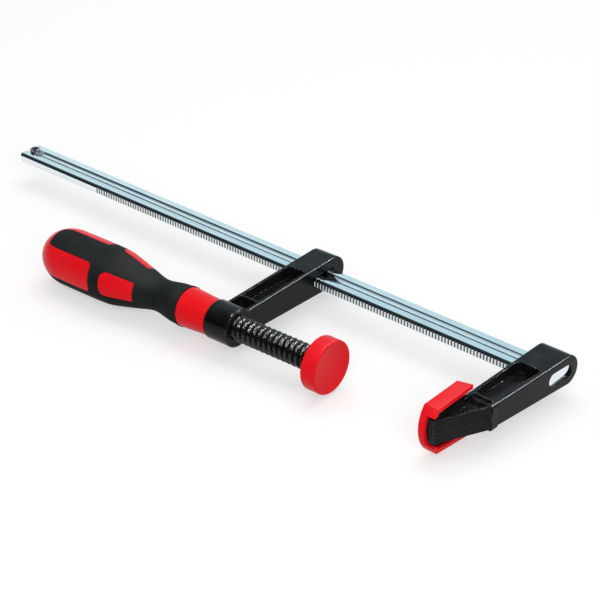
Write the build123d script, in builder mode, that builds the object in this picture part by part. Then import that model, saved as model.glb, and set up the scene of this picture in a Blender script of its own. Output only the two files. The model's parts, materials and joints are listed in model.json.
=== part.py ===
"""Screw bar clamp: a toothed rail, a fixed jaw, a sliding jaw and a swivel-pad spindle.

Frame: the origin is on the fixed jaw's clamping face, at the throat's depth from the rail.
+X runs along the rail towards the fixed jaw, the jaws reach out towards -Y and +Z is up.
The sliding jaw and all that it carries are drawn straight and then stand at the jaw's lean.
Lengths are in millimetres.
"""
import os
from math import atan, cos, degrees, radians, sin, sqrt

from build123d import *

os.makedirs("parts", exist_ok=True)

# ---------------------------------------------------------------- driving dimensions
# rail
rail_width = 17.0
rail_height = 6.0
rail_edge_chamfer = 1.5
rail_free_length = 382.8        # from the fixed jaw's inner face to the rail's free end
rail_end_round = 0.8
groove_width = 5.9
groove_depth = 1.2
tooth_pitch = 2.1
tooth_depth = 0.55
tooth_land = 0.6                # flat left between two notches
plain_length = 70.0             # toothless stretch at the free end

# reach and opening
throat = 63.0                   # from the rail's edge to the origin
opening_at_rest = 68.0          # between the two clamping faces
rail_axis_y = throat + rail_width / 2

# stop pin, rolled from sheet with a slit along it
stop_inset = 4.6                # from the rail's free end
stop_radius = 3.2
stop_wall = 1.1
stop_proud = 1.7                # beyond the rail's broad faces
stop_slit = 1.0
stop_slit_angle = -45.0
stop_bevel = 0.4

# fixed jaw
cap_face_thickness = 4.0        # of the cap in front of the anvil
seat_gap = 0.1                  # between a cap and the metal that it sits on
fixed_inner_x = cap_face_thickness + seat_gap
fixed_back_depth = 19.8         # along X, at the rail
fixed_collar_depth = 17.4       # along X, where the nose starts
fixed_back_half_height = 8.3
fixed_collar_half_height = 6.7
fixed_back_reach = 17.6         # from the rail's axis to the rounded end
nose_start_y = 19.2
nose_tip_y = -10.0
nose_tip_depth = 3.6
nose_ridge = 0.8                # how far the nose's middle crease stands out
nose_web = 5.6                  # left between the pockets in the nose's broad sides
nose_wall = 2.2
nose_shelf = 1.2                # how far the pocket's floor ends below the arm's surface
nose_ramp = 3.6                 # along Y, where the pocket's floor rises to the shelf
nose_ramp_lead = 0.6            # how far before the collar the rise starts
collar_width = 4.5
collar_proud = 0.7
collar_round = 1.8
anvil_thickness = 3.2
anvil_end_y = 16.0
jaw_wall = 2.2
fixed_outer_wall = 3.4
jaw_web = 3.6
casting_round = 0.9
fixed_pocket_end_gap = 1.6      # between the rail's slot and the pocket
window_length = 19.0
window_height = 7.8
window_offset = 2.8             # from the rail's axis, away from the throat
rail_head_length = 4.6
rail_head_recess = 1.1

# fixed jaw's cap
cap_length = 30.0
cap_middle_y = 3.0
cap_half_height = 14.2          # at the end near the arm
cap_flare = 1.4                 # how much lower the tip's corners are
cap_tip_height = 4.7            # of the arc that closes the outline
cap_wing_depth = 5.0            # beyond the face, along the anvil's edges
cap_wing_wall = 2.5
cap_wing_slant = 2.3            # how far the wings' ends lean towards the arm
cap_end_opening = 17.2
cap_edge_round = 1.2

# sliding jaw
slide_depth = 16.0
slide_middle_x = -139.1
jaw_lean = 2.2                  # degrees, the play on the rail that makes the jaw grip
boss_offset = 0.8               # from the fixed jaw's middle towards the rail
slide_back_half_height = 8.9
slide_front_half_height = 7.0
slide_end_overhang = 0.6        # flat stretch beyond the rail before the round end
boss_radius = 11.0
boss_length = 16.6
boss_rim = 0.7
slide_clearance = 0.3
slide_pocket_start_y = 18.6     # along the arm, from the spindle's axis
slide_pocket_end_gap = 4.6
rib_thickness = 1.3
slide_wall = 2.2

# spindle
thread_radius = 7.0
thread_pitch = 3.6
thread_length = 66.0
thread_clearance = 0.05
tang_radius = 4.6
tang_length = 48.0
neck_radius = 3.0
ball_radius = 4.2
ball_clearance = 0.05
handle_gap = 0.3                # between the handle and the boss when fully screwed in

# pressure plate, its cap and the ring that keeps it on the ball
pad_radius = 14.9
pad_thickness = 9.2
pad_face_thickness = 2.4
pad_rim_width = 1.6
pad_face_recess = 0.4
pad_wall = 2.2
pad_lip = 0.9
plate_thickness = 4.5
plate_hub_radius = 6.6
plate_hub_length = 5.0
plate_floor = 1.2               # between the ball's seat and the plate's face
ring_wire_radius = 0.55
ring_radius = 4.25
ring_offset = 2.8               # behind the ball's centre
ring_room = 0.6                 # the groove is this much larger, so that the plate can tilt

# handle
handle_length = 129.0
collar_length = 19.2
collar_front_radius = 10.2
collar_radius = 11.3
neck_grip_radius = 9.3
grip_radius = 16.4
grip_thickness = 2.0
window_count = 3
first_window_angle = 170.0
big_window_width = 17.6
small_window_tip_width = 15.0
small_window_neck_width = 11.2
window_corner = 2.6
small_window_round = 4.0        # at the corners near the belly
small_window_corner = 0.9       # at the corners near the neck
lane_radius = 7.3
# distances from the handle's front face
waist_start = 26.5
waist_start_radius = 11.0
neck_narrowest = 39.5
waist_end = 53.5
waist_end_radius = 12.2
shoulder = 62.5
shoulder_radius = 14.3
belly_start = 72.0
belly_start_radius = 16.05
big_window_start = 80.4
small_window_start = 51.0
small_window_end = 72.8
# distances from the handle's far end
dome_length = 21.0
lane_inset = 14.7

# ---------------------------------------------------------------- derived places
free_end_x = fixed_inner_x - rail_free_length
fixed_outer_x = fixed_inner_x + fixed_back_depth
rail_head_end_x = fixed_outer_x - rail_head_recess
boss_back_x = slide_middle_x - boss_length / 2
handle_front_x = boss_back_x - handle_gap
thread_end_x = handle_front_x + thread_length
pad_face_x = -opening_at_rest
plate_face_x = pad_face_x - pad_face_thickness - seat_gap
ball_x = plate_face_x - plate_floor - ball_clearance - ball_radius
handle_belly_end = handle_length - dome_length
handle_lane_end = handle_length - lane_inset
leaned = Location((slide_middle_x, boss_offset, 0), (0, 0, jaw_lean)) * Location((-slide_middle_x, 0, 0))


def write_part(solid, name):
    """Label a finished piece and write its STEP file."""
    solid.label = name
    export_step(solid, f"parts/{name}.step")


# ---------------------------------------------------------------- rail
groove_radius = (groove_width ** 2 / 4 + groove_depth ** 2) / (2 * groove_depth)
first_tooth_x = free_end_x + plain_length
tooth_count = int((fixed_inner_x - first_tooth_x) / tooth_pitch)
tooth_mouth = tooth_pitch - tooth_land
stop_x = free_end_x + stop_inset

with BuildPart() as rail:
    with BuildSketch(Plane.YZ.offset(free_end_x)) as rail_section:
        with Locations((rail_axis_y, 0)):
            Rectangle(rail_width, rail_height)
        chamfer(rail_section.vertices(), rail_edge_chamfer)
        groove_centre_z = rail_height / 2 - groove_depth + groove_radius
        with Locations((rail_axis_y, groove_centre_z), (rail_axis_y, -groove_centre_z)):
            Circle(groove_radius, mode=Mode.SUBTRACT)
    extrude(amount=rail_head_end_x - free_end_x)
    # the free end's corners are rounded off
    fillet(rail.edges().filter_by(Axis.Z).group_by(Axis.X)[0], rail_end_round)
    # notches across the edge that faces the throat
    with BuildSketch(Plane.XY.offset(-rail_height / 2)):
        for tooth in range(tooth_count):
            tooth_x = first_tooth_x + tooth * tooth_pitch
            with BuildLine():
                Polyline(
                    (tooth_x - tooth_mouth / 2, throat),
                    (tooth_x, throat + tooth_depth),
                    (tooth_x + tooth_mouth / 2, throat),
                    close=True,
                )
            make_face()
    extrude(amount=rail_height, mode=Mode.SUBTRACT)
    # the end inside the fixed jaw is upset into a wider head
    with BuildSketch(Plane.YZ.offset(rail_head_end_x)):
        with Locations((rail_axis_y + window_offset, 0)):
            SlotOverall(window_length, window_height)
    extrude(amount=-rail_head_length)
    # hole for the stop pin
    with Locations((stop_x, rail_axis_y, rail_height / 2)):
        Hole(stop_radius)
write_part(rail.part, "rail")

# ---------------------------------------------------------------- stop pin
stop_half_length = rail_height / 2 + stop_proud

with BuildPart() as stop_pin:
    with BuildSketch(Plane.XY.offset(-stop_half_length)):
        with Locations((stop_x, rail_axis_y)):
            Circle(stop_radius)
            Circle(stop_radius - stop_wall, mode=Mode.SUBTRACT)
    extrude(amount=2 * stop_half_length)
    # both outer rims are bevelled, so that the pin can be driven in
    outer_rims = stop_pin.edges().filter_by(GeomType.CIRCLE).group_by(SortBy.RADIUS)[-1]
    chamfer(outer_rims, stop_bevel)
    slit_plane = Plane(origin=(stop_x, rail_axis_y, 0), z_dir=(0, 0, 1)).rotated((0, 0, stop_slit_angle))
    with BuildSketch(slit_plane.offset(-stop_half_length)):
        with Locations((stop_radius, 0)):
            Rectangle(2 * stop_radius, stop_slit)
    extrude(amount=2 * stop_half_length, mode=Mode.SUBTRACT)
write_part(stop_pin.part, "stop_pin")

# ---------------------------------------------------------------- outline of the cap and anvil
cap_low_y = cap_middle_y - cap_length / 2
cap_high_y = cap_middle_y + cap_length / 2


cap_low_half_height = cap_half_height - cap_flare
cap_tip_radius = (cap_tip_height ** 2 + cap_low_half_height ** 2) / (2 * cap_tip_height)


def cap_outline(face_x, inset, high_y):
    """Face across X: flared towards the arm, closed by an arc at the tip, moved in by a wall."""
    flare_slope = cap_flare / (cap_length - cap_tip_height)
    high_z = cap_half_height - inset + flare_slope * (high_y - cap_high_y)
    low_z = cap_low_half_height - inset
    low_y = cap_low_y + cap_tip_radius - sqrt((cap_tip_radius - inset) ** 2 - low_z ** 2)
    with BuildSketch(Plane.YZ.offset(face_x)) as outline:
        with BuildLine():
            ThreePointArc((low_y, -low_z), (cap_low_y + inset, 0), (low_y, low_z))
            Polyline((low_y, low_z), (high_y, high_z), (high_y, -high_z), (low_y, -low_z))
        make_face()
    return outline.sketch


# ---------------------------------------------------------------- fixed jaw
fixed_round_y = rail_axis_y + fixed_back_reach - fixed_back_half_height
collar_end_y = nose_start_y + collar_width
collar_outer_x = fixed_inner_x + fixed_collar_depth
fixed_pocket_start_y = collar_end_y + rib_thickness
fixed_pocket_end_y = throat - fixed_pocket_end_gap
nose_draft = degrees(atan(nose_ridge / fixed_collar_half_height))
anvil_back_x = fixed_inner_x + anvil_thickness
nose_slope = (fixed_collar_depth - nose_tip_depth) / (nose_start_y - nose_tip_y)
nose_pocket_tip_y = nose_tip_y + (anvil_thickness + nose_wall - nose_tip_depth) / nose_slope
nose_pocket_outer_x = collar_outer_x - nose_wall
nose_ramp_y = nose_start_y - nose_ramp_lead
nose_shelf_z = fixed_collar_half_height - nose_shelf

# room behind the anvil, whose floor rises to a shelf beside the arm
with BuildPart() as nose_room:
    with BuildSketch(Plane.YZ.offset(anvil_back_x)):
        with BuildLine():
            Spline((nose_ramp_y, nose_web / 2), (nose_ramp_y + nose_ramp, nose_shelf_z),
                   tangents=((1, 0), (1, 0)))
            Polyline(
                (nose_ramp_y + nose_ramp, nose_shelf_z),
                (collar_end_y, nose_shelf_z),
                (collar_end_y, fixed_back_half_height),
                (nose_pocket_tip_y, fixed_back_half_height),
                (nose_pocket_tip_y, nose_web / 2),
                (nose_ramp_y, nose_web / 2),
            )
        make_face()
    extrude(amount=fixed_collar_depth)
    with BuildSketch(Plane.XY):
        with BuildLine():
            Polyline(
                (anvil_back_x, collar_end_y),
                (anvil_back_x, nose_pocket_tip_y),
                (nose_pocket_outer_x, nose_start_y),
                (nose_pocket_outer_x, collar_end_y),
                close=True,
            )
        make_face()
    extrude(amount=fixed_back_half_height, mode=Mode.INTERSECT)

with BuildPart() as fixed_jaw:
    # side view: a tapered arm with a round end
    with BuildSketch(Plane.YZ.offset(fixed_inner_x)):
        with Locations((collar_end_y, 0)):
            Circle(fixed_collar_half_height)
        with Locations((fixed_round_y, 0)):
            Circle(fixed_back_half_height)
        make_hull()
    extrude(amount=fixed_back_depth)
    # plan view: the outer face runs in towards the collar
    with BuildSketch(Plane.XY.offset(-fixed_back_half_height)):
        with BuildLine():
            Polyline(
                (fixed_outer_x, fixed_round_y),
                (collar_outer_x, collar_end_y),
                (collar_outer_x, nose_start_y - fixed_collar_half_height),
                (fixed_outer_x, nose_start_y - fixed_collar_half_height),
                close=True,
            )
        make_face()
    extrude(amount=2 * fixed_back_half_height, mode=Mode.SUBTRACT)
    # the arm ends at the collar, where the nose takes over
    split(bisect_by=Plane.XZ.offset(-collar_end_y), keep=Keep.BOTTOM)
    arm_sides = fixed_jaw.edges().filter_by(Axis.X, reverse=True).filter_by(
        lambda edge: edge.center().Y > collar_end_y + 0.01)
    fillet(arm_sides, casting_round)
    # pockets in both broad sides leave a web between them
    for side in (1, -1):
        with BuildSketch(Plane.XY.offset(side * jaw_web / 2)) as pocket:
            with BuildLine():
                Polyline(
                    (fixed_inner_x + jaw_wall, fixed_pocket_start_y),
                    (collar_outer_x - fixed_outer_wall, fixed_pocket_start_y),
                    (fixed_outer_x - fixed_outer_wall, fixed_pocket_end_y),
                    (fixed_inner_x + jaw_wall, fixed_pocket_end_y),
                    close=True,
                )
            make_face()
            fillet(pocket.vertices(), jaw_wall)
        extrude(amount=side * fixed_back_half_height, mode=Mode.SUBTRACT)
    # nose: a wedge whose outer face has a crease along its middle
    with BuildSketch(Plane.XY) as nose_plan:
        with BuildLine():
            Polyline(
                (fixed_inner_x, collar_end_y),
                (fixed_inner_x, nose_tip_y),
                (fixed_inner_x + nose_tip_depth + nose_ridge, nose_tip_y),
                (collar_outer_x, nose_start_y),
                (collar_outer_x, collar_end_y),
                close=True,
            )
        make_face()
    extrude(amount=fixed_collar_half_height, both=True, taper=nose_draft)
    # collar where the nose meets the arm
    with BuildSketch(Plane.XZ.offset(-nose_start_y)) as collar:
        with Locations((fixed_inner_x + (fixed_collar_depth + collar_proud) / 2, 0)):
            RectangleRounded(fixed_collar_depth + collar_proud,
                             2 * (fixed_collar_half_height + collar_proud), collar_round)
    extrude(amount=-collar_width)
    # the nose is hollowed from both broad sides
    add(nose_room.part, mode=Mode.SUBTRACT)
    add(nose_room.part.mirror(Plane.XY), mode=Mode.SUBTRACT)
    # anvil that carries the cap
    extrude(cap_outline(fixed_inner_x, cap_wing_wall + seat_gap, anvil_end_y), amount=anvil_thickness)
    # slot for the rail and room for its head
    with BuildSketch(Plane.YZ.offset(fixed_inner_x)):
        with Locations((rail_axis_y, 0)):
            Rectangle(rail_width, rail_height)
    extrude(amount=rail_head_end_x - fixed_inner_x, mode=Mode.SUBTRACT)
    with BuildSketch(Plane.YZ.offset(rail_head_end_x - rail_head_length)):
        with Locations((rail_axis_y + window_offset, 0)):
            SlotOverall(window_length, window_height)
    extrude(amount=fixed_back_depth, mode=Mode.SUBTRACT)
write_part(fixed_jaw.part, "fixed_jaw")

# ---------------------------------------------------------------- fixed jaw's cap
with BuildPart() as fixed_jaw_cap:
    extrude(cap_outline(0, 0, cap_high_y + cap_wing_slant), amount=cap_face_thickness + cap_wing_depth)
    # the end near the arm leans outwards
    with BuildSketch(Plane.XY.offset(-cap_half_height - cap_wing_slant)):
        with BuildLine():
            Polyline(
                (0, cap_high_y),
                (cap_face_thickness + cap_wing_depth, cap_high_y + cap_wing_slant),
                (0, cap_high_y + cap_wing_slant),
                close=True,
            )
        make_face()
    extrude(amount=2 * (cap_half_height + cap_wing_slant), mode=Mode.SUBTRACT)
    # the anvil's room is open behind and towards the arm
    extrude(cap_outline(cap_face_thickness, cap_wing_wall, cap_high_y + 2 * cap_wing_slant),
            amount=cap_wing_depth, mode=Mode.SUBTRACT)
    # the nose shows through the end
    with BuildSketch(Plane.YZ.offset(cap_face_thickness)):
        with Locations((cap_low_y, 0)):
            Rectangle(cap_length / 2, cap_end_opening)
    extrude(amount=cap_wing_depth, mode=Mode.SUBTRACT)
    fillet(fixed_jaw_cap.edges().group_by(Axis.X)[0], cap_edge_round)
write_part(fixed_jaw_cap.part, "fixed_jaw_cap")

# ---------------------------------------------------------------- sliding jaw
slide_back_x = slide_middle_x - slide_depth / 2
slide_slot_y = (rail_axis_y - boss_offset) / cos(radians(jaw_lean))
slide_slot_width = ((rail_width + slide_depth * sin(radians(jaw_lean))) / cos(radians(jaw_lean))
                    + 2 * slide_clearance)
slide_round_y = slide_slot_y + rail_width / 2 + slide_end_overhang
slide_pocket_end_y = slide_slot_y - rail_width / 2 - slide_pocket_end_gap
small_pocket_end_y = slide_pocket_start_y - rib_thickness

with BuildPart() as sliding_jaw:
    with BuildSketch(Plane.YZ.offset(slide_back_x)):
        Circle(slide_front_half_height)
        with Locations((slide_round_y, 0)):
            Circle(slide_back_half_height)
        make_hull()
    extrude(amount=slide_depth)
    fillet(sliding_jaw.edges().filter_by(Axis.X, reverse=True), casting_round)
    # a long and a short pocket in both broad sides, with a rib between them
    for side in (1, -1):
        with BuildSketch(Plane.XY.offset(side * jaw_web / 2)) as pockets:
            for low_y, high_y in ((0, small_pocket_end_y), (slide_pocket_start_y, slide_pocket_end_y)):
                with Locations((slide_middle_x, (low_y + high_y) / 2)):
                    Rectangle(slide_depth - 2 * slide_wall, high_y - low_y)
            fillet(pockets.vertices(), slide_wall / 2)
        extrude(amount=side * slide_back_half_height, mode=Mode.SUBTRACT)
    # boss for the spindle
    with BuildSketch(Plane.XY) as boss_section:
        with Locations((slide_middle_x, boss_radius / 2)):
            Rectangle(boss_length, boss_radius)
        chamfer(boss_section.vertices().group_by(Axis.Y)[-1], boss_rim)
    revolve(axis=Axis.X)
    with BuildSketch(Plane.YZ.offset(boss_back_x)):
        Circle(thread_radius + thread_clearance)
    extrude(amount=boss_length, mode=Mode.SUBTRACT)
    # slot for the rail, wide enough for the lean
    with BuildSketch(Plane.YZ.offset(slide_back_x)):
        with Locations((slide_slot_y, 0)):
            Rectangle(slide_slot_width, rail_height + 2 * slide_clearance)
    extrude(amount=slide_depth, mode=Mode.SUBTRACT)
write_part(sliding_jaw.part.moved(leaned), "sliding_jaw")

# ---------------------------------------------------------------- spindle
thread_depth = thread_pitch / 2   # as of a trapezoidal thread, and the bevel at its end
neck_meets_ball = ball_x - (ball_radius ** 2 - neck_radius ** 2) ** 0.5

with BuildPart() as spindle:
    with BuildSketch(Plane.XY):
        with BuildLine():
            Polyline(
                (ball_x + ball_radius, 0),
                (handle_front_x - tang_length, 0),
                (handle_front_x - tang_length, tang_radius),
                (handle_front_x, tang_radius),
                (handle_front_x, thread_radius),
                (thread_end_x - thread_depth, thread_radius),
                (thread_end_x, thread_radius - thread_depth),
                (thread_end_x, neck_radius),
                (neck_meets_ball, neck_radius),
            )
            ThreePointArc((neck_meets_ball, neck_radius), (ball_x, ball_radius),
                          (ball_x + ball_radius, 0))
        make_face()
    revolve(axis=Axis.X)
write_part(spindle.part.moved(leaned), "spindle")

# ---------------------------------------------------------------- ring that keeps the ball in
with BuildPart() as swivel_ring:
    with BuildSketch(Plane.XY):
        with Locations((ball_x - ring_offset, ring_radius)):
            Circle(ring_wire_radius)
    revolve(axis=Axis.X)
write_part(swivel_ring.part.moved(leaned), "swivel_ring")

# ---------------------------------------------------------------- pressure plate
plate_radius = pad_radius - pad_wall - seat_gap
plate_back_x = plate_face_x - plate_thickness
seat_radius = ball_radius + ball_clearance
ring_groove_radius = ring_radius + ring_wire_radius + ring_room
ring_groove_half = ring_wire_radius + ring_room

with BuildPart() as pressure_plate:
    with BuildSketch(Plane.XY):
        with BuildLine():
            Polyline(
                (ball_x + seat_radius, 0),
                (plate_face_x, 0),
                (plate_face_x, plate_radius),
                (plate_back_x, plate_radius),
                (plate_back_x, plate_hub_radius),
                (plate_back_x - plate_hub_length, plate_hub_radius),
                (plate_back_x - plate_hub_length, seat_radius),
                (ball_x - ring_offset - ring_groove_half, seat_radius),
                (ball_x - ring_offset - ring_groove_half, ring_groove_radius),
                (ball_x - ring_offset + ring_groove_half, ring_groove_radius),
                (ball_x - ring_offset + ring_groove_half, seat_radius),
                (ball_x, seat_radius),
            )
            RadiusArc((ball_x, seat_radius), (ball_x + seat_radius, 0), seat_radius)
        make_face()
    revolve(axis=Axis.X)
write_part(pressure_plate.part.moved(leaned), "pressure_plate")

# ---------------------------------------------------------------- pressure plate's cap
pad_back_x = pad_face_x - pad_thickness
pad_inner_radius = pad_radius - pad_wall

with BuildPart() as pressure_plate_cap:
    with BuildSketch(Plane.XY):
        with BuildLine():
            Polyline(
                (pad_face_x - pad_face_recess, 0),
                (pad_face_x - pad_face_recess, pad_radius - 2 * pad_rim_width),
                (pad_face_x, pad_radius - pad_rim_width),
                (pad_face_x, pad_radius),
                (pad_back_x, pad_radius),
                (pad_back_x, pad_inner_radius - pad_lip),
                (plate_back_x - seat_gap, pad_inner_radius - pad_lip),
                (plate_back_x - seat_gap, pad_inner_radius),
                (pad_face_x - pad_face_thickness, pad_inner_radius),
                (pad_face_x - pad_face_thickness, 0),
                close=True,
            )
        make_face()
    revolve(axis=Axis.X)
    outer_rims = pressure_plate_cap.edges().filter_by(GeomType.CIRCLE).group_by(SortBy.RADIUS)[-1]
    fillet(outer_rims, pad_rim_width / 2)
write_part(pressure_plate_cap.part.moved(leaned), "pressure_plate_cap")

# ---------------------------------------------------------------- handle
def handle_body(inset):
    """Solid of revolution inside the handle's outline, moved in by a wall."""
    with BuildPart() as body:
        with BuildSketch(Plane(origin=(handle_front_x, 0, 0), x_dir=(-1, 0, 0), z_dir=(0, 0, -1))):
            with BuildLine():
                Polyline(
                    (handle_length - inset, 0),
                    (0, 0),
                    (0, collar_front_radius - inset),
                    (collar_length, collar_radius - inset),
                )
                Spline(
                    (collar_length, collar_radius - inset),
                    (waist_start, waist_start_radius - inset),
                    (neck_narrowest, neck_grip_radius - inset),
                    (waist_end, waist_end_radius - inset),
                    (shoulder, shoulder_radius - inset),
                    (belly_start, belly_start_radius - inset),
                    ((belly_start + handle_belly_end) / 2, grip_radius - inset),
                    (handle_belly_end, grip_radius - inset),
                    tangents=((1, 0), (1, 0)),
                )
                EllipticalCenterArc(
                    (handle_belly_end, 0),
                    dome_length - inset,
                    grip_radius - inset,
                    start_angle=0,
                    arc_size=90,
                )
            make_face()
        revolve(axis=Axis.X)
    return body.part


def window_plane(angle):
    """Plane along the handle's axis that looks outwards at an angle round it."""
    outwards = (0, cos(radians(angle)), sin(radians(angle)))
    return Plane(origin=(handle_front_x, 0, 0), x_dir=(-1, 0, 0), z_dir=outwards)


handle_solid = handle_body(0)
handle_inner = handle_body(grip_thickness)
window_angles = [first_window_angle + turn * 360 / window_count for turn in range(window_count)]
lane_angles = [angle + 180 / window_count for angle in window_angles]

with BuildPart() as handle_grip:
    # soft sleeve from the collar to where the lanes round off
    with BuildSketch(Plane.YZ.offset(handle_front_x - collar_length)):
        Circle(2 * grip_radius)
    extrude(amount=-(handle_lane_end - lane_radius - collar_length))
    for angle in lane_angles:
        with BuildSketch(window_plane(angle)):
            with Locations((handle_lane_end - lane_radius, 0)):
                Circle(lane_radius)
        extrude(amount=2 * grip_radius)
    add(handle_solid, mode=Mode.INTERSECT)
    add(handle_inner, mode=Mode.SUBTRACT)
    # the hard core shows through two windows on each of three sides
    for angle in window_angles:
        with BuildSketch(window_plane(angle)) as big_window:
            with Locations(((big_window_start + handle_length) / 2, 0)):
                Rectangle(handle_length - big_window_start, big_window_width)
            fillet(big_window.vertices(), window_corner)
        extrude(amount=2 * grip_radius, mode=Mode.SUBTRACT)
        with BuildSketch(window_plane(angle)) as small_window:
            with BuildLine():
                Polyline(
                    (small_window_start, -small_window_neck_width / 2),
                    (small_window_start, small_window_neck_width / 2),
                    (small_window_end, small_window_tip_width / 2),
                    (small_window_end, -small_window_tip_width / 2),
                    close=True,
                )
            make_face()
            neck_corners, belly_corners = small_window.vertices().group_by(Axis.X)
            fillet(neck_corners, small_window_corner)
            fillet(belly_corners, small_window_round)
        extrude(amount=2 * grip_radius, mode=Mode.SUBTRACT)

with BuildPart() as handle_core:
    add(handle_solid)
    add(handle_grip.part, mode=Mode.SUBTRACT)
    # bore for the spindle's tang
    with BuildSketch(Plane.YZ.offset(handle_front_x)):
        Circle(tang_radius)
    extrude(amount=-tang_length, mode=Mode.SUBTRACT)
write_part(handle_core.part.moved(leaned), "handle_core")
write_part(handle_grip.part.moved(leaned), "handle_grip")
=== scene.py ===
"""Looks of the screw bar clamp.

The rail, the pin, the castings and the caps are the solids with softened edges. The spindle gets its
thread here and the handle its two mouldings. Then come the finishes, the floor, the lamps and the camera.
"""
import json
import math

import bmesh
import bpy
from mathutils import Matrix, Vector

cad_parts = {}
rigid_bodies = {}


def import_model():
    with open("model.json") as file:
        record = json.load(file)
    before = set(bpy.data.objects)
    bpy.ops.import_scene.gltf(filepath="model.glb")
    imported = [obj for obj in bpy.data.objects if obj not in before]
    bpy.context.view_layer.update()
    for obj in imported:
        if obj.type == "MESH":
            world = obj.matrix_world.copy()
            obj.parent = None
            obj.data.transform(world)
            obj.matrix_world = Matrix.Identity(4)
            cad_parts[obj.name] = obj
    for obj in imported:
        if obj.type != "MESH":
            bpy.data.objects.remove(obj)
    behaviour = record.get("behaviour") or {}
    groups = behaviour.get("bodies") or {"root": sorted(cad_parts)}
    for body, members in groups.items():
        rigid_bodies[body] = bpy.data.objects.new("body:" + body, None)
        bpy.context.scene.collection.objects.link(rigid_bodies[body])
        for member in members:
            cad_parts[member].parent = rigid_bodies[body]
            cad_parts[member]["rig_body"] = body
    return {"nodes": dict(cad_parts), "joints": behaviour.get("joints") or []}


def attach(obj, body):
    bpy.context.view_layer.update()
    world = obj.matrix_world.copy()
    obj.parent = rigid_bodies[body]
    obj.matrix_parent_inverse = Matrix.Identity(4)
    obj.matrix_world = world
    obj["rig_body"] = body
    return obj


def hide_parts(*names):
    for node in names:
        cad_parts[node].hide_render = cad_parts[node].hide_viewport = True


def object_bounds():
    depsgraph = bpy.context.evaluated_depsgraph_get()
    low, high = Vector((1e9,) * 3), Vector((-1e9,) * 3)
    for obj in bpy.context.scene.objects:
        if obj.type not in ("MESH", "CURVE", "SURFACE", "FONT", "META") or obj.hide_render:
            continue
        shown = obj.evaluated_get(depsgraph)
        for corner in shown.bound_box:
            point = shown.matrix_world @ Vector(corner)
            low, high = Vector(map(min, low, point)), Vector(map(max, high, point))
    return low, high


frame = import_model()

cad_low, cad_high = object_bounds()

MM = 0.001

# ---------------------------------------------------------------- sizes shared with the part's source
THROAT = 63.0 * MM                     # the rail's toothed edge, along Y
RAIL_HALF_THICKNESS = 3.0 * MM
TOOTH_DEPTH = 0.55 * MM
HANDLE_FRONT_X = -71.75 * MM           # along the spindle, from the middle of its ball
THREAD_END_X = -5.75 * MM
THREAD_RADIUS = 7.0 * MM
THREAD_PITCH = 3.6 * MM
TANG_RADIUS = 4.6 * MM
TANG_LENGTH = 48.0 * MM
NECK_RADIUS = 3.0 * MM
BALL_RADIUS = 4.2 * MM

# ---------------------------------------------------------------- thread and turned details
THREAD_DEPTH = 1.9 * MM
CREST_SHARE = 0.10                     # of half a pitch, before the flank falls
ROOT_SHARE = 0.95                      # of half a pitch, where the flank ends
THREAD_CHAMFER = 1.8 * MM
TANG_CHAMFER = 0.5 * MM
NECK_CHAMFER = 0.4 * MM
ROWS_PER_TURN = 24
SPINDLE_SIDES = 96
BALL_STEPS = 15
SPINDLE_SHARP_ANGLE = 35.0             # degrees
SMALLEST_RADIUS = 1e-7                 # keeps the thread from dividing by zero on the axis

# ---------------------------------------------------------------- handle, as distances from its front face
HANDLE_LENGTH = 127.1 * MM
HANDLE_FRONT_RADIUS = 10.2 * MM
HANDLE_OUTLINE = [(s * MM, r * MM) for s, r in (
    (19.2, 11.3), (26.5, 11.0), (39.5, 9.3), (53.5, 12.2), (62.5, 14.3), (72.0, 16.05), (89.5, 16.4),
    (107.0, 16.4))]
COLLAR_LENGTH = HANDLE_OUTLINE[0][0]   # the red ring in front of the sleeve
TANG_ROOM = 0.05 * MM
GRIP_WALL = 2.0 * MM
SLEEVE_GAP = 0.22 * MM                 # between the sleeve and the red fields
LIP_LENGTH, LIP_HEIGHT = 2.2 * MM, 0.30 * MM
LIP_GROOVE_END, LIP_GROOVE_DEPTH = 3.2 * MM, 0.25 * MM
WINDOW_ANGLES = (170.0, 290.0, 50.0)
BIG_WINDOW = (80.4 * MM, 8.8 * MM)     # where it starts, half its width
BIG_WINDOW_ROUND = 2.6 * MM
SMALL_WINDOW = ((51.0 * MM, 5.6 * MM), (72.8 * MM, 7.5 * MM))
SMALL_WINDOW_ROUNDS = (0.9 * MM, 4.0 * MM)
LANE_ANGLES = [angle + 60.0 for angle in WINDOW_ANGLES]
LANE_END = 116.2 * MM                  # the sleeve's lanes between the windows run on to here
LANE_HALF_WIDTH = 7.6 * MM
LANE_ROUND = 4.5 * MM
SHOULDER = 108.6 * MM                  # the sleeve ends here beside its lanes
HANDLE_SIDES = 144
BORE_SIDES = 48
SLEEVE_STEPS = 132
CORE_STEPS = 200
ARC_STEPS = 8
HANDLE_SHARP_ANGLE = 32.0              # degrees

# cutters reach past what they cut
SLEEVE_SPARE = 1.3 * MM
ROOM_SPARE = 2.0 * MM
PAST_TIP = HANDLE_LENGTH + 8 * MM
LANE_REACH = 10.2 * MM                 # to each side of a lane's middle
CUTTER_FOOT, CUTTER_TOP = 6.0 * MM, 22.0 * MM

# ---------------------------------------------------------------- softened edges
RAIL_EDGE = 0.12 * MM
PIN_EDGE = 0.1 * MM
CASTING_EDGE = 0.6 * MM
ANVIL_CAP_EDGE = 0.5 * MM
PAD_CAP_EDGE = 0.4 * MM
EDGE_ANGLE = 30.0                      # degrees between faces, from which an edge is softened
FLAT_ANGLE = 0.8                       # degrees, below which two faces become one
SAME_POINT = 0.002 * MM
FLAT_FACE_WEIGHT = 80

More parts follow.
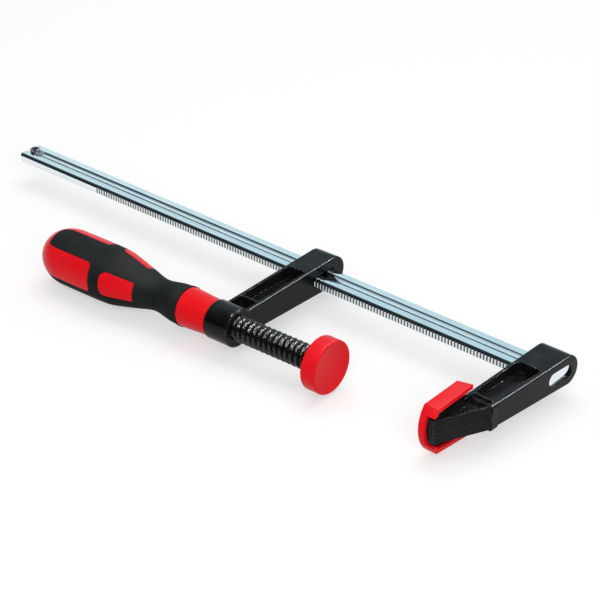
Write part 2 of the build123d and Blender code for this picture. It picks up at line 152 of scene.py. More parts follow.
# ---------------------------------------------------------------- colours, dark to light
ZINC = ((0.72, 0.79, 0.82), (0.82, 0.87, 0.89))
# painted shade: the dark colour laid into the rail's notches
NOTCH_SHADE = (0.10, 0.11, 0.12)
COAT = ((0.003, 0.003, 0.0035), (0.007, 0.007, 0.0075))
# light greys of the softened casting edges: painted highlight
EDGE_HIGHLIGHT_GREYS = ((0.35, 0.35, 0.355), (0.85, 0.85, 0.86))
OILED_STEEL = ((0.002, 0.002, 0.0025), (0.006, 0.006, 0.007))
PIN_STEEL = ((0.26, 0.26, 0.27), (0.62, 0.62, 0.63))
CAP_RED = ((0.76, 0.006, 0.012), (0.84, 0.010, 0.018))
CORE_RED = ((0.78, 0.006, 0.012), (0.86, 0.010, 0.018))
RED_GLOSS = (1.0, 0.18, 0.18)
RUBBER = ((0.010, 0.012, 0.012), (0.018, 0.021, 0.021))

NOISE_LOW, NOISE_HIGH = 0.3, 0.7       # most of a noise lies between them
NOTCH_SHADE_STARTS, NOTCH_SHADE_FULL = 0.10 * MM, 0.30 * MM      # painted shade in the notches begins, and is full, this far below the tips of the teeth
NOTCH_FLOOR_ROOM = 0.05 * MM
SEAM_CORE, SEAM_EDGE = 0.15 * MM, 0.55 * MM            # half widths of the parting line
NOSE_START_X, NOSE_END_Y = -50.0 * MM, 18.5 * MM       # the nose lies past the first and before the second

# ---------------------------------------------------------------- camera
CAMERA_PLACE = (0.4784, -0.6212, 0.5119)
CAMERA_AZIMUTH = 42.283
CAMERA_ELEVATION = 29.627
CAMERA_ROLL = -0.4356
CAMERA_LENS = 114.8
CAMERA_SENSOR = 36.0
CAMERA_CLIP = (0.05, 50.0)

# ---------------------------------------------------------------- studio
LIT_MIDDLE = (-0.12, 0.03, 0.0)
LAMPS = (                              # name, place, size, watts, whether it shows in gloss alone
    ("key", (-0.35, 0.55, 1.35), (1.3, 1.0), 8.0, False),
    ("fill", (0.9, -0.9, 0.9), (1.2, 0.9), 14.0, False),
    ("strip", (-0.12, 0.03, 1.0), (0.05, 2.0), 110.0, True),
    ("edge_light", (0.30, 0.77, 0.84), (0.35, 0.35), 14.0, True))
DARK_PIECES = ("fixed_jaw_casting", "sliding_jaw_casting", "anvil_cap", "pad_cap", "threaded_spindle",
               "handle_core_moulding", "handle_grip_sleeve")
STUDIO_IN_GLOSS = (                    # what gloss shows from the front, 0, to the back, 1
    (0.28, (0.02, 0.03, 0.035)), (0.40, (0.06, 0.09, 0.11)), (0.47, (0.22, 0.33, 0.38)),
    (0.57, (0.55, 0.68, 0.74)), (0.68, (0.85, 0.98, 1.0)), (0.82, (0.60, 0.80, 0.88)))
ROOM_LIGHT = 0.5
FLOOR_GREY = 0.5
FLOOR_GLOW = 0.50                      # brings the lit grey floor to white in view
FLOOR_SIZE = 12.0
FLOOR_DROP = 0.2 * MM


# ---------------------------------------------------------------- small helpers for nodes
def feed(tree, socket, value):
    """Links the socket to another one, or sets it to a plain value. None leaves it alone."""
    if isinstance(value, bpy.types.NodeSocket):
        tree.links.new(value, socket)
    elif value is not None:
        socket.default_value = value


def maths(tree, operation, a, b=None):
    """The result of one operation on numbers or sockets."""
    node = tree.nodes.new("ShaderNodeMath")
    node.operation = operation
    feed(tree, node.inputs[0], a)
    feed(tree, node.inputs[1], b)
    return node.outputs[0]


def map_range(tree, value, start, end, low=0.0, high=1.0, soft_ends=False):
    """Maps start to end onto low to high."""
    node = tree.nodes.new("ShaderNodeMapRange")
    if soft_ends:
        node.interpolation_type = "SMOOTHSTEP"
    feed(tree, node.inputs["Value"], value)
    feed(tree, node.inputs["From Min"], start)
    feed(tree, node.inputs["From Max"], end)
    feed(tree, node.inputs["To Min"], low)
    feed(tree, node.inputs["To Max"], high)
    return node.outputs["Result"]


def split(tree, vector):
    """The x, y and z of a vector."""
    node = tree.nodes.new("ShaderNodeSeparateXYZ")
    tree.links.new(vector, node.inputs[0])
    return node.outputs


def object_coords(tree, scale=(1, 1, 1)):
    """Object coordinates, stretched by scale."""
    coords = tree.nodes.new("ShaderNodeTexCoord")
    mapping = tree.nodes.new("ShaderNodeMapping")
    mapping.inputs["Scale"].default_value = scale
    tree.links.new(coords.outputs["Object"], mapping.inputs["Vector"])
    return mapping.outputs["Vector"]


def noise(tree, vector, scale, detail=4.0, roughness=0.5):
    """A cloudy value over the vector's space."""
    node = tree.nodes.new("ShaderNodeTexNoise")
    node.inputs["Scale"].default_value = scale
    node.inputs["Detail"].default_value = detail
    node.inputs["Roughness"].default_value = roughness
    tree.links.new(vector, node.inputs["Vector"])
    return node.outputs["Fac"]


def spread(tree, value, low, high):
    """Stretches what a noise gives to low to high."""
    return map_range(tree, value, NOISE_LOW, NOISE_HIGH, low, high)


def ramp(tree, value, stops):
    """A colour ramp from (place, colour) stops."""
    node = tree.nodes.new("ShaderNodeValToRGB")
    elements = node.color_ramp.elements
    while len(elements) < len(stops):
        elements.new(0.5)
    for element, (place, colour) in zip(elements, stops):
        element.position = place
        element.color = (*colour, 1.0)
    tree.links.new(value, node.inputs["Fac"])
    return node.outputs["Color"]


def shades(tree, value, colours, start=NOISE_LOW, end=NOISE_HIGH):
    """Goes from the first colour to the second as a noise rises from start to end."""
    return ramp(tree, value, tuple(zip((start, end), colours)))


def covered(tree, share, colour, cover):
    """A colour that a plain one covers by share."""
    node = tree.nodes.new("ShaderNodeMix")
    node.data_type = "RGBA"
    below, above = [socket for socket in node.inputs if socket.type == "RGBA"]
    tree.links.new(share, node.inputs["Factor"])
    tree.links.new(colour, below)
    above.default_value = (*cover, 1.0)
    return next(socket for socket in node.outputs if socket.type == "RGBA")


def bump(tree, height, distance, strength=1.0, below=None):
    """A normal that rises by distance where height is one, over the normal below."""
    node = tree.nodes.new("ShaderNodeBump")
    node.inputs["Strength"].default_value = strength
    node.inputs["Distance"].default_value = distance
    tree.links.new(height, node.inputs["Height"])
    feed(tree, node.inputs["Normal"], below)
    return node.outputs["Normal"]


def shader(name, metallic=0.0, gloss=0.5, tint=(1.0, 1.0, 1.0)):
    """A new material with one Principled shader, ready for its nodes."""
    mat = bpy.data.materials.new(name)
    mat.use_nodes = True
    tree = mat.node_tree
    bsdf = tree.nodes["Principled BSDF"]
    bsdf.inputs["Metallic"].default_value = metallic
    bsdf.inputs["Specular IOR Level"].default_value = gloss
    bsdf.inputs["Specular Tint"].default_value = (*tint, 1.0)
    return mat, tree, bsdf


def finish(tree, bsdf, colour, roughness, normal=None):
    """Gives the shader what varies over the surface."""
    tree.links.new(colour, bsdf.inputs["Base Color"])
    tree.links.new(roughness, bsdf.inputs["Roughness"])
    if normal is not None:
        tree.links.new(normal, bsdf.inputs["Normal"])


# ---------------------------------------------------------------- materials
def zinc_plate():
    """Bright zinc on rolled steel: streaks along the bar, a cloudy blue tint, and painted shade darkening
    the notches.
    """
    mat, tree, bsdf = shader("zinc_plate", metallic=1.0)
    streaks = noise(tree, object_coords(tree, (12, 900, 900)), 1.0, 5.0)
    clouds = noise(tree, object_coords(tree), 60.0, 3.0)
    # the notches are darkened here: painted shade
    colour = covered(tree, notch_shade_mask(tree), shades(tree, clouds, ZINC), NOTCH_SHADE)
    finish(tree, bsdf, colour, spread(tree, streaks, 0.08, 0.16), bump(tree, streaks, 0.01 * MM, 0.4))
    return mat


def notch_shade_mask(tree):
    """One inside the rail's notches, below the tips of the teeth, where the zinc is darkened as painted
    shade.
    """
    _, y, z = split(tree, object_coords(tree))
    depth = map_range(tree, y, THROAT + NOTCH_SHADE_STARTS, THROAT + NOTCH_SHADE_FULL)
    between_sides = maths(tree, "LESS_THAN", maths(tree, "ABSOLUTE", z), RAIL_HALF_THICKNESS)
    above_floor = maths(tree, "LESS_THAN", y, THROAT + TOOTH_DEPTH + NOTCH_FLOOR_ROOM)
    return maths(tree, "MULTIPLY", depth, maths(tree, "MULTIPLY", between_sides, above_floor))


def black_coat():
    """Gloss black paint on a casting, with a slight orange peel over the sand texture."""
    mat, tree, bsdf = shader("black_coat", gloss=0.12)
    place = object_coords(tree)
    peel = noise(tree, place, 700.0, 2.0)
    sand = noise(tree, place, 2600.0, 3.0)
    patches = noise(tree, place, 120.0, 3.0)
    cast = bump(tree, sand, 0.04 * MM, 0.5)
    seamed = bump(tree, nose_seam(tree), 0.3 * MM, below=cast)
    painted = bump(tree, peel, 0.06 * MM, 0.5, seamed)
    finish(tree, bsdf, shades(tree, patches, COAT), spread(tree, patches, 0.16, 0.26), painted)
    return mat


def nose_seam(tree):
    """One along the mould's parting line, half way up the fixed jaw's nose."""
    x, y, z = split(tree, object_coords(tree))
    line = map_range(tree, maths(tree, "ABSOLUTE", z), SEAM_CORE, SEAM_EDGE, 1.0, 0.0, soft_ends=True)
    on_nose = maths(tree, "MULTIPLY", maths(tree, "GREATER_THAN", x, NOSE_START_X),
                    maths(tree, "LESS_THAN", y, NOSE_END_Y))
    return maths(tree, "MULTIPLY", line, on_nose)


def painted_edge_highlight():
    """Painted highlight on every softened edge, concave ones too: a light grey, mostly metallic colour that
    stands in for the edges' glints, and whose gloss reflects the lamps.
    """
    mat, tree, bsdf = shader("painted_edge_highlight", gloss=0.3)
    edge_breakup = noise(tree, object_coords(tree), 260.0, 4.0, 0.6)
    # the light grey edge colour is a painted highlight, broken up by noise
    finish(tree, bsdf, shades(tree, edge_breakup, EDGE_HIGHLIGHT_GREYS, 0.35, 0.55), spread(tree, edge_breakup, 0.24, 0.36))
    tree.links.new(spread(tree, edge_breakup, 0.6, 1.0), bsdf.inputs["Metallic"])
    return mat


def black_steel():
    """Blackened and oiled steel of the spindle."""
    mat, tree, bsdf = shader("black_steel", gloss=0.4)
    rub = noise(tree, object_coords(tree), 500.0, 4.0)
    finish(tree, bsdf, shades(tree, rub, OILED_STEEL, end=0.75), spread(tree, rub, 0.13, 0.19))
    return mat


def spring_steel():
    """Hardened steel of the pin, dark from its oil, with draw marks along it."""
    mat, tree, bsdf = shader("spring_steel", metallic=1.0)
    draw = noise(tree, object_coords(tree, (2200, 2200, 90)), 1.0, 3.0)
    finish(tree, bsdf, shades(tree, draw, PIN_STEEL), spread(tree, draw, 0.2, 0.34),
           bump(tree, draw, 0.02 * MM, 0.3))
    return mat


def red_plastic(name, reds, tone_scale, skin_scale, roughness, skin_strength):
    """Moulded red plastic: a slow change of tone and a fine skin, whose gloss stays red."""
    mat, tree, bsdf = shader(name, gloss=0.15, tint=RED_GLOSS)
    place = object_coords(tree)
    tone = noise(tree, place, tone_scale, 3.0)
    skin = noise(tree, place, skin_scale, 2.0)
    finish(tree, bsdf, shades(tree, tone, reds), spread(tree, skin, *roughness),
           bump(tree, skin, 0.02 * MM, skin_strength))
    return mat


def red_cap_plastic():
    """Satin red of the two push-on caps."""
    return red_plastic("red_cap_plastic", CAP_RED, 45.0, 2200.0, (0.30, 0.40), 0.5)


def red_core_plastic():
    """Glossier hard red of the handle's core."""
    return red_plastic("red_core_plastic", CORE_RED, 35.0, 1500.0, (0.24, 0.34), 0.4)


def soft_black_grip():
    """Matt soft rubber with an eroded mould texture."""
    mat, tree, bsdf = shader("soft_black_grip", gloss=0.03)
    place = object_coords(tree)
    tone = noise(tree, place, 90.0, 4.0)
    skin = noise(tree, place, 2600.0, 3.0)
    finish(tree, bsdf, shades(tree, tone, RUBBER), spread(tree, skin, 0.5, 0.68),
           bump(tree, skin, 0.06 * MM, 0.6))
    return mat


def studio_floor():
    """White sweep that stays white in view and keeps the clamp's shadow."""
    mat = bpy.data.materials.new("studio_floor")
    mat.use_nodes = True
    tree = mat.node_tree
    tree.nodes.clear()
    diffuse = tree.nodes.new("ShaderNodeBsdfDiffuse")
    diffuse.inputs["Color"].default_value = (FLOOR_GREY, FLOOR_GREY, FLOOR_GREY, 1)
    glow = tree.nodes.new("ShaderNodeEmission")
    glow.inputs["Color"].default_value = (1, 1, 1, 1)
    rays = tree.nodes.new("ShaderNodeLightPath").outputs
    direct = maths(tree, "MAXIMUM", rays["Is Camera Ray"], rays["Is Glossy Ray"])
    in_view = maths(tree, "MAXIMUM", direct, rays["Is Transmission Ray"])
    tree.links.new(maths(tree, "MULTIPLY", in_view, FLOOR_GLOW), glow.inputs["Strength"])
    both = tree.nodes.new("ShaderNodeAddShader")
    tree.links.new(diffuse.outputs[0], both.inputs[0])
    tree.links.new(glow.outputs[0], both.inputs[1])
    out = tree.nodes.new("ShaderNodeOutputMaterial")
    tree.links.new(both.outputs[0], out.inputs["Surface"])
    return mat


# ---------------------------------------------------------------- helpers for pieces
def place_piece(obj, node):
    """The piece stands for a CAD node and rides where the node rides."""
    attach(obj, frame["nodes"][node]["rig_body"])
    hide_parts(node)


def dress(node, mat):
    """Gives a CAD node that stays as it is its finish."""
    obj = frame["nodes"][node]
    obj.data.materials.clear()
    obj.data.materials.append(mat)


def new_object(name, data):
    """An object of this mesh, lamp or camera data, added to the scene."""
    obj = bpy.data.objects.new(name, data)
    bpy.context.scene.collection.objects.link(obj)
    return obj


def merged_copy(node, name):
    """A copy of a CAD node's mesh with its loose triangles joined and its flat faces whole."""
    mesh = frame["nodes"][node].data.copy()
    mesh.name = name
    bm = bmesh.new()
    bm.from_mesh(mesh)
    bmesh.ops.remove_doubles(bm, verts=bm.verts, dist=SAME_POINT)
    bmesh.ops.dissolve_limit(bm, angle_limit=math.radians(FLAT_ANGLE), verts=bm.verts, edges=bm.edges,
                             delimit={"NORMAL"})
    bm.to_mesh(mesh)
    bm.free()
    return mesh


def softened(node, name, mat, width, segments=3, edge_mat=None):
    """A copy of a CAD node with its sharp edges rounded, in a finish of their own if one is given."""
    mesh = merged_copy(node, name)
    mesh.materials.clear()
    mesh.materials.append(mat)
    mesh.shade_smooth()
    obj = new_object(name, mesh)
    bevel = obj.modifiers.new("edges", "BEVEL")
    bevel.limit_method = "ANGLE"
    bevel.angle_limit = math.radians(EDGE_ANGLE)
    bevel.width = width
    bevel.segments = segments
    bevel.use_clamp_overlap = True
    bevel.harden_normals = True
    if edge_mat:
        mesh.materials.append(edge_mat)
        bevel.material = 1
        flat = obj.modifiers.new("flat_faces", "WEIGHTED_NORMAL")
        flat.weight = FLAT_FACE_WEIGHT
        flat.keep_sharp = True
    place_piece(obj, node)


def mesh_object(name, bm):
    """Turns a finished bmesh into an object whose faces look outwards."""
    bmesh.ops.recalc_face_normals(bm, faces=bm.faces)
    mesh = bpy.data.meshes.new(name)
    bm.to_mesh(mesh)
    bm.free()
    return new_object(name, mesh)


def lathe(name, profile, sides, ring_shaped=False):
    """A closed solid of revolution round the X axis from (x, radius) points. Its end points lie on the axis,
    unless it is a ring, whose last point joins its first."""
    bm = bmesh.new()
    rings = []
    for x, radius in (profile if ring_shaped else profile[1:-1]):
        rings.append([bm.verts.new((x, radius * math.cos(math.tau * k / sides),
                                    radius * math.sin(math.tau * k / sides)))
                      for k in range(sides)])
    afters = rings[1:] + rings[:1] if ring_shaped else rings[1:]
    for ring, after in zip(rings, afters):
        for k in range(sides):
            n = (k + 1) % sides
            bm.faces.new((ring[k], ring[n], after[n], after[k]))
    if not ring_shaped:
        for (x, _), ring in ((profile[0], rings[0]), (profile[-1], rings[-1])):
            pole = bm.verts.new((x, 0, 0))
            for k in range(sides):
                bm.faces.new((pole, ring[k], ring[(k + 1) % sides]))
    return mesh_object(name, bm)


def make_plain(obj, modifier):
    """Turns what the modifier makes of obj into its own mesh and removes the modifier."""
    bpy.context.view_layer.update()
    evaluated = obj.evaluated_get(bpy.context.evaluated_depsgraph_get())
    mesh = bpy.data.meshes.new_from_object(evaluated)
    obj.modifiers.remove(modifier)
    obj.data = mesh


def grow(obj, tree, values):
    """Runs a Geometry Nodes tree with these named inputs on obj."""
    modifier = obj.modifiers.new("grow", "NODES")
    modifier.node_group = tree
    identifiers = {item.name: item.identifier for item in tree.interface.items_tree
                   if item.item_type == "SOCKET" and item.in_out == "INPUT"}
    for label, value in values.items():
        modifier[identifiers[label]] = value
    make_plain(obj, modifier)


def cut(obj, cutter):
    """Takes the cutter away from obj and deletes it."""
    boolean = obj.modifiers.new("cut", "BOOLEAN")
    boolean.operation = "DIFFERENCE"
    boolean.solver = "EXACT"
    boolean.object = cutter
    make_plain(obj, boolean)
    bpy.data.objects.remove(cutter)


def joint(name):
    """One joint of the frame."""
    return next(j for j in frame["joints"] if j["name"] == name)


def set_on_spindle(obj, node, sharp_angle):
    """Brings a piece made along X, with the ball's middle at the origin, to the spindle's place."""
    turn = Vector((1, 0, 0)).rotation_difference(Vector(joint("spindle_spin")["axis"]))
    place = Matrix.Translation(joint("plate_swivel")["pos_m"])
    obj.data.transform(place @ turn.to_matrix().to_4x4())
    obj.data.shade_smooth()
    obj.data.set_sharp_from_angle(angle=math.radians(sharp_angle))
    place_piece(obj, node)


# ---------------------------------------------------------------- bar, pin, castings and caps
def rail(mat):
    """The toothed bar."""
    softened("rail", "toothed_rail", mat, RAIL_EDGE, 2)


def stop_pin(mat):
    """The hollow pin at the bar's free end."""
    softened("stop_pin", "rolled_stop_pin", mat, PIN_EDGE, 2)


def casting(node, mat, edge_mat):
    """One of the two cast jaws, in black paint, with a painted highlight on its softened edges."""
    softened(node, node + "_casting", mat, CASTING_EDGE, 4, edge_mat)


def anvil_cap(mat):
    """The cap over the fixed jaw's anvil."""
    softened("fixed_jaw_cap", "anvil_cap", mat, ANVIL_CAP_EDGE)


def pad_cap(mat):
    """The round cap over the pressure plate."""
    softened("pressure_plate_cap", "pad_cap", mat, PAD_CAP_EDGE)


# ---------------------------------------------------------------- spindle
def thread_tree():
    """Geometry Nodes tree that cuts a right-hand helical thread into a rod along X."""
    tree = bpy.data.node_groups.new("cut_thread", "GeometryNodeTree")
    face = tree.interface
    face.new_socket("Rod", in_out="INPUT", socket_type="NodeSocketGeometry")
    for label in ("Pitch", "Depth", "Crest Radius", "Crest Share", "Root Share"):
        face.new_socket(label, in_out="INPUT", socket_type="NodeSocketFloat")
    face.new_socket("Finish", in_out="INPUT", socket_type="NodeSocketMaterial")
    face.new_socket("Thread", in_out="OUTPUT", socket_type="NodeSocketGeometry")
    given = tree.nodes.new("NodeGroupInput").outputs
    x, y, z = split(tree, tree.nodes.new("GeometryNodeInputPosition").outputs[0])

    turn = maths(tree, "DIVIDE", maths(tree, "ARCTAN2", z, y), math.tau)
    phase = maths(tree, "FRACT", maths(tree, "SUBTRACT", maths(tree, "DIVIDE", x, given["Pitch"]), turn))
    away = maths(tree, "ABSOLUTE", maths(tree, "SUBTRACT", maths(tree, "MULTIPLY", phase, 2.0), 1.0))
    flank = map_range(tree, away, given["Crest Share"], given["Root Share"], soft_ends=True)
    sunk = maths(tree, "SUBTRACT", given["Crest Radius"], maths(tree, "MULTIPLY", flank, given["Depth"]))
    squares = maths(tree, "ADD", maths(tree, "MULTIPLY", y, y), maths(tree, "MULTIPLY", z, z))
    radius = maths(tree, "SQRT", squares)
    shrink = maths(tree, "DIVIDE", maths(tree, "MINIMUM", radius, sunk),
                   maths(tree, "MAXIMUM", radius, SMALLEST_RADIUS))

    joined = tree.nodes.new("ShaderNodeCombineXYZ")
    feed(tree, joined.inputs[0], x)
    feed(tree, joined.inputs[1], maths(tree, "MULTIPLY", y, shrink))
    feed(tree, joined.inputs[2], maths(tree, "MULTIPLY", z, shrink))
    move = tree.nodes.new("GeometryNodeSetPosition")
    feed(tree, move.inputs["Geometry"], given["Rod"])
    feed(tree, move.inputs["Position"], joined.outputs[0])
    real = tree.nodes.new("GeometryNodeRealizeInstances")
    feed(tree, real.inputs["Geometry"], move.outputs["Geometry"])
    dressed = tree.nodes.new("GeometryNodeSetMaterial")
    feed(tree, dressed.inputs["Geometry"], real.outputs["Geometry"])
    feed(tree, dressed.inputs["Material"], given["Finish"])
    feed(tree, tree.nodes.new("NodeGroupOutput").inputs["Thread"], dressed.outputs["Geometry"])
    return tree


def spindle_profile():
    """Outline of tang, rod, neck and ball, before the thread is cut."""
    tang_end = HANDLE_FRONT_X - TANG_LENGTH
    profile = [(tang_end, 0.0), (tang_end, TANG_RADIUS - TANG_CHAMFER),
               (tang_end + TANG_CHAMFER, TANG_RADIUS), (HANDLE_FRONT_X, TANG_RADIUS)]
    span = THREAD_END_X - HANDLE_FRONT_X
    rows = ROWS_PER_TURN * round(span / THREAD_PITCH)
    for row in range(rows + 1):
        x = HANDLE_FRONT_X + span * row / rows
        profile.append((x, min(THREAD_RADIUS, THREAD_RADIUS - THREAD_CHAMFER + (THREAD_END_X - x))))
    profile += [(THREAD_END_X, NECK_RADIUS + NECK_CHAMFER), (THREAD_END_X + NECK_CHAMFER, NECK_RADIUS)]
    sweep = math.pi - math.asin(NECK_RADIUS / BALL_RADIUS)
    for step in range(BALL_STEPS):
        angle = sweep - sweep * step / BALL_STEPS
        profile.append((BALL_RADIUS * math.cos(angle), BALL_RADIUS * math.sin(angle)))
    profile.append((BALL_RADIUS, 0.0))
    return profile


def threaded_spindle(mat):
    """The whole spindle: tang, thread, neck and ball."""
    rod = lathe("threaded_spindle", spindle_profile(), SPINDLE_SIDES)
    grow(rod, thread_tree(), {
        "Pitch": THREAD_PITCH, "Depth": THREAD_DEPTH, "Crest Radius": THREAD_RADIUS,
        "Crest Share": CREST_SHARE, "Root Share": ROOT_SHARE, "Finish": mat})
    set_on_spindle(rod, "spindle", SPINDLE_SHARP_ANGLE)


# ---------------------------------------------------------------- handle
def handle_radius(s, inset=0.0):
    """Radius of the handle at the distance s from its front face: a straight collar, a smooth curve through
    the outline's points, and a domed end."""
    belly_end, belly_radius = HANDLE_OUTLINE[-1]
    if s <= COLLAR_LENGTH:
        rise = (HANDLE_OUTLINE[0][1] - HANDLE_FRONT_RADIUS) / COLLAR_LENGTH
        return HANDLE_FRONT_RADIUS + rise * s - inset
    if s >= belly_end:
        part = (s - belly_end) / (HANDLE_LENGTH - belly_end - inset)
        return (belly_radius - inset) * math.sqrt(max(0.0, 1.0 - part * part))
    i = max(k for k, (place, _) in enumerate(HANDLE_OUTLINE) if place <= s)
    (s0, r0), (s1, r1) = HANDLE_OUTLINE[i], HANDLE_OUTLINE[i + 1]
    run = s1 - s0
    t = (s - s0) / run
    return (r0 * (2 * t**3 - 3 * t**2 + 1) + outline_slope(i) * run * (t**3 - 2 * t**2 + t)
            + r1 * (3 * t**2 - 2 * t**3) + outline_slope(i + 1) * run * (t**3 - t**2)) - inset


def outline_slope(k):
    """Slope of the handle's outline at one of its points, level at both ends."""
    if k in (0, len(HANDLE_OUTLINE) - 1):
        return 0.0
    (s0, r0), (s1, r1) = HANDLE_OUTLINE[k - 1], HANDLE_OUTLINE[k + 1]
    return (r1 - r0) / (s1 - s0)


def rounded(corners):
    """Outline through (x, y, radius) corners, each rounded by its radius."""
    points = []
    for k, (x, y, radius) in enumerate(corners):
        here = Vector((x, y))
        before = (Vector(corners[k - 1][:2]) - here).normalized()
        after = (Vector(corners[(k + 1) % len(corners)][:2]) - here).normalized()
        if radius <= 0:
            points.append(here)
            continue
        half = before.angle(after) / 2
        middle = here + (before + after).normalized() * radius / math.sin(half)
        start = (here + before * radius / math.tan(half) - middle).normalized()
        end = (here + after * radius / math.tan(half) - middle).normalized()
        for step in range(ARC_STEPS + 1):
            points.append(middle + start.slerp(end, step / ARC_STEPS).normalized() * radius)
    return points


def big_window(gap):
    """Outline of the window that runs out over the handle's end."""
    start, half = BIG_WINDOW[0] + gap, BIG_WINDOW[1] - gap
    return rounded([(start, -half, BIG_WINDOW_ROUND), (start, half, BIG_WINDOW_ROUND),
                    (PAST_TIP, half, 0), (PAST_TIP, -half, 0)])


def small_window(gap):
    """Outline of the window between the waist and the belly."""
    (waist, waist_half), (belly, belly_half) = SMALL_WINDOW
    waist_round, belly_round = SMALL_WINDOW_ROUNDS
    waist, waist_half, belly, belly_half = waist + gap, waist_half - gap, belly - gap, belly_half - gap
    return rounded([(waist, -waist_half, waist_round), (waist, waist_half, waist_round),
                    (belly, belly_half, belly_round), (belly, -belly_half, belly_round)])


def lane_end(gap):
    """Outline of what is cleared round the end of a lane and past the shoulders beside it."""
    shoulder, end, half = SHOULDER + gap, LANE_END + gap, LANE_HALF_WIDTH + gap
    return rounded([(shoulder, -LANE_REACH, 0), (shoulder, -half, 0), (end, -half, LANE_ROUND),
                    (end, half, LANE_ROUND), (shoulder, half, 0), (shoulder, LANE_REACH, 0),
                    (PAST_TIP, LANE_REACH, 0), (PAST_TIP, -LANE_REACH, 0)])


def prisms(name, outlines, angles):
    """Cutters that stand on the handle's sides: (distance, width) outlines pushed outwards at each angle."""
    bm = bmesh.new()
    for angle in angles:
        a = math.radians(angle)
        out, side = Vector((0, math.cos(a), math.sin(a))), Vector((0, -math.sin(a), math.cos(a)))
        for outline in outlines:
            rows = [[bm.verts.new(Vector((HANDLE_FRONT_X - s, 0, 0)) + side * w + out * height)
                     for s, w in outline] for height in (CUTTER_FOOT, CUTTER_TOP)]
            count = len(outline)
            for k in range(count):
                n = (k + 1) % count
                bm.faces.new((rows[0][k], rows[0][n], rows[1][n], rows[1][k]))
            for row in rows:
                bm.faces.new(row)
    return mesh_object(name, bm)


def lip(s):
    """How much the sleeve's front lip stands proud, with a shallow groove behind it."""
    past = s - COLLAR_LENGTH
    if past < LIP_LENGTH:
        return LIP_HEIGHT
    if past < LIP_GROOVE_END:
        return -LIP_GROOVE_DEPTH
    return 0.0


def sleeve(name, gap):
    """The grip's sleeve with its windows, or, with a gap, the room that it needs in the core."""
    front, back = COLLAR_LENGTH - gap, LANE_END + SLEEVE_SPARE
    places = [front + (back - front) * k / SLEEVE_STEPS for k in range(SLEEVE_STEPS + 1)]
    outer = [(HANDLE_FRONT_X - s, handle_radius(s) + (ROOM_SPARE if gap else lip(s))) for s in places]
    inner = [(HANDLE_FRONT_X - s, handle_radius(s, GRIP_WALL + gap)) for s in reversed(places)]
    body = lathe(name, outer + inner, HANDLE_SIDES, ring_shaped=True)
    cut(body, prisms("windows", [big_window(gap), small_window(gap)], WINDOW_ANGLES))
    cut(body, prisms("lane_ends", [lane_end(gap)], LANE_ANGLES))
    return body


def moulded(obj, mat, node):
    """Gives a part of the handle its one material and its place."""
    obj.data.materials.clear()
    obj.data.materials.append(mat)
    set_on_spindle(obj, node, HANDLE_SHARP_ANGLE)


def handle_grip(mat):
    """The soft sleeve."""
    moulded(sleeve("handle_grip_sleeve", 0.0), mat, "handle_grip")


def handle_core(mat):
    """The hard core, which fills the sleeve's windows with a fine gap round each."""
    dome = [HANDLE_LENGTH * math.sin(math.pi / 2 * k / CORE_STEPS) for k in range(CORE_STEPS)]
    profile = [(HANDLE_FRONT_X, 0.0)]
    profile += [(HANDLE_FRONT_X - s, handle_radius(s)) for s in dome]
    profile.append((HANDLE_FRONT_X - HANDLE_LENGTH, 0.0))
    core = lathe("handle_core_moulding", profile, HANDLE_SIDES)
    cut(core, sleeve("sleeve_room", SLEEVE_GAP))
    bore_end, bore_radius = HANDLE_FRONT_X - TANG_LENGTH - TANG_ROOM, TANG_RADIUS + TANG_ROOM
    bore = [(HANDLE_FRONT_X + MM, 0.0), (HANDLE_FRONT_X + MM, bore_radius),
            (bore_end, bore_radius), (bore_end, 0.0)]
    cut(core, lathe("bore", bore, BORE_SIDES))
    moulded(core, mat, "handle_core")


# ---------------------------------------------------------------- studio
def lay_floor():
    """A wide floor just under the clamp."""
    bpy.ops.mesh.primitive_plane_add(size=FLOOR_SIZE, location=(0, 0, cad_low.z - FLOOR_DROP))
    floor = bpy.context.active_object
    floor.name = "floor"
    floor.data.materials.append(studio_floor())


def dark_pieces():
    """The painted, blackened and plastic pieces. They alone show the gloss lamps: zinc would glare."""
    name = "dark_pieces"
    if name in bpy.data.collections:
        return bpy.data.collections[name]
    group = bpy.data.collections.new(name)
    for piece in DARK_PIECES:
        group.objects.link(bpy.data.objects[piece])
    return group


def softbox(name, place, size, power, shows_in_gloss):
    """A rectangular lamp aimed at the clamp; it lights surfaces, or only shows in their gloss."""
    data = bpy.data.lights.new(name, "AREA")
    data.shape = "RECTANGLE"
    data.size, data.size_y = size
    data.energy = power
    lamp = new_object(name, data)
    lamp.location = place
    lamp.rotation_euler = (Vector(LIT_MIDDLE) - Vector(place)).to_track_quat("-Z", "Y").to_euler()
    lamp.visible_camera = False
    lamp.visible_diffuse = not shows_in_gloss
    lamp.visible_glossy = shows_in_gloss
    if shows_in_gloss:
        lamp.light_linking.receiver_collection = dark_pieces()


def background(tree, strength, colour=(1, 1, 1, 1)):
    """One plain or patterned background."""
    node = tree.nodes.new("ShaderNodeBackground")
    feed(tree, node.inputs["Color"], colour)
    node.inputs["Strength"].default_value = strength
    return node.outputs[0]


def either(tree, share, first, second):
    """The first shader where share is none, the second where it is one."""
    node = tree.nodes.new("ShaderNodeMixShader")
    for socket, value in zip(node.inputs, (share, first, second)):
        tree.links.new(value, socket)
    return node.outputs[0]


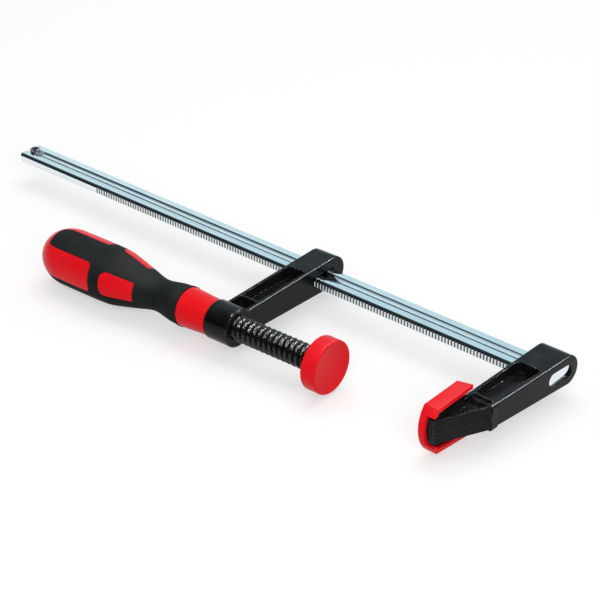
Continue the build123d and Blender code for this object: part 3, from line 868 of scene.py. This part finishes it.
def light_room():
    """White surroundings in view, plain light on the clamp, and a studio that shows in its gloss."""
    world = bpy.data.worlds.new("studio")
    bpy.context.scene.world = world
    world.use_nodes = True
    tree = world.node_tree
    tree.nodes.clear()
    _, ahead, _ = split(tree, tree.nodes.new("ShaderNodeTexCoord").outputs["Generated"])
    studio = ramp(tree, map_range(tree, ahead, -1.0, 1.0), STUDIO_IN_GLOSS)
    rays = tree.nodes.new("ShaderNodeLightPath").outputs
    lit = either(tree, rays["Is Glossy Ray"], background(tree, ROOM_LIGHT), background(tree, 1.0, studio))
    direct = maths(tree, "MAXIMUM", rays["Is Camera Ray"], rays["Is Transmission Ray"])
    out = tree.nodes.new("ShaderNodeOutputWorld")
    tree.links.new(either(tree, direct, lit, background(tree, 1.0)), out.inputs["Surface"])
    for lamp in LAMPS:
        softbox(*lamp)


def set_camera():
    """The camera, turned by its azimuth, elevation and roll."""
    data = bpy.data.cameras.new("camera")
    data.lens = CAMERA_LENS
    data.sensor_width = CAMERA_SENSOR
    data.clip_start, data.clip_end = CAMERA_CLIP
    camera = new_object("camera", data)
    a, e, r = (math.radians(v) for v in (CAMERA_AZIMUTH, CAMERA_ELEVATION, CAMERA_ROLL))
    ahead = Vector((-math.sin(a) * math.cos(e), math.cos(a) * math.cos(e), -math.sin(e)))
    level = Vector((math.cos(a), math.sin(a), 0))
    up = level.cross(ahead)
    right = level * math.cos(r) + up * math.sin(r)
    up = up * math.cos(r) - level * math.sin(r)
    turn = Matrix((right, up, -ahead)).transposed().to_4x4()
    camera.matrix_world = Matrix.Translation(CAMERA_PLACE) @ turn
    bpy.context.scene.camera = camera


# ---------------------------------------------------------------- the whole
def build():
    """Dresses the clamp piece by piece and sets it in the studio."""
    zinc, coat, edge, steel = zinc_plate(), black_coat(), painted_edge_highlight(), black_steel()
    spring, cap, core, grip = spring_steel(), red_cap_plastic(), red_core_plastic(), soft_black_grip()
    rail(zinc)
    stop_pin(spring)
    casting("fixed_jaw", coat, edge)
    casting("sliding_jaw", coat, edge)
    anvil_cap(cap)
    pad_cap(cap)
    handle_grip(grip)
    handle_core(core)
    dress("pressure_plate", zinc)
    dress("swivel_ring", spring)
    threaded_spindle(steel)
    lay_floor()
    light_room()
    set_camera()


build()

bpy.context.scene.view_settings.view_transform = "Standard"
bpy.context.view_layer.update()
